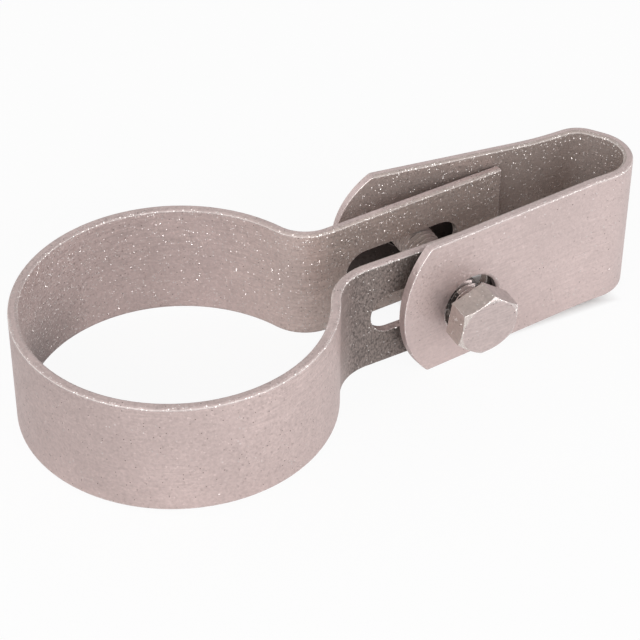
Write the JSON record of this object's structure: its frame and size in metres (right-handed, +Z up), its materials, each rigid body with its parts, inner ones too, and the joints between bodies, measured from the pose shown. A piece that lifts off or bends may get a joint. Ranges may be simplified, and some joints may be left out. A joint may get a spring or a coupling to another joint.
{
  "type": "mesh panel clip",
  "caption": "Bolted fence fitting: a round band for a tubular post with slotted ears, and a folded strip clip that traps the edge of a mesh panel.",
  "frame": {"origin": "on the post's axis, at the band's mid-height", "axes": "+Z up along the post, +X from the post towards the mesh panel, +Y towards the nut"},
  "size_m": [0.1389, 0.065, 0.0318],
  "materials": {
    "galvanised_band": "galvanised strip with a fine pitted grain",
    "galvanised_clip": "galvanised strip, smoother than the band",
    "zinc_bolt": "zinc plated, as forged",
    "zinc_nut": "zinc plated"
  },
  "bodies": {
    "root": {"post_band": "galvanised_band", "panel_clip": "galvanised_clip", "hex_bolt": "zinc_bolt", "hex_nut": "zinc_nut"}
  },
  "joints": []
}
